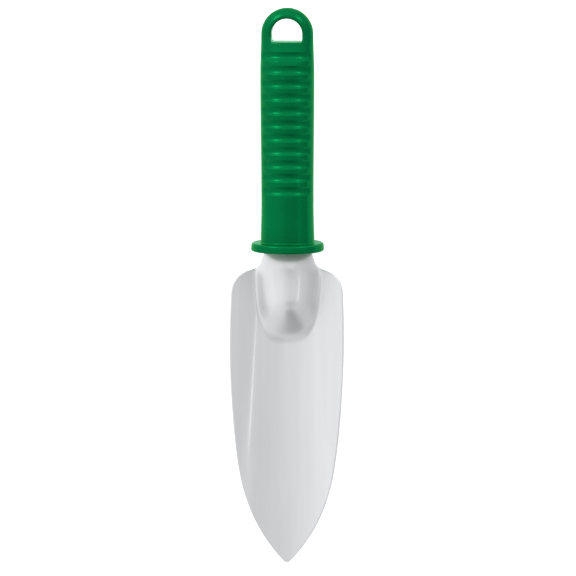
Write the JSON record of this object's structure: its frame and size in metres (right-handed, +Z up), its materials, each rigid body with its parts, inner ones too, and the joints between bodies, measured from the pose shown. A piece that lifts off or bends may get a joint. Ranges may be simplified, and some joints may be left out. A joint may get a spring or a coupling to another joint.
{
  "type": "hand trowel",
  "caption": "Garden hand trowel with a pointed, dished steel blade, a ridged neck and a grooved moulded handle with collar and hang loop.",
  "frame": {"origin": "on the ground under the middle of the trowel, which lies on its back resting on its tip and the lower edge of its collar", "axes": "+Y from the tip towards the hang loop, +X to the right of the blade seen from above, +Z up out of the dish"},
  "size_m": [0.0628, 0.3026, 0.0429],
  "materials": {
    "blade_steel": "pressed sheet steel, bright plated and clear coated, smooth and glossy",
    "handle_plastic": "moulded polypropylene, leaf green all through, semi-gloss"
  },
  "bodies": {
    "root": {"blade": "blade_steel", "handle": "handle_plastic"}
  },
  "joints": []
}
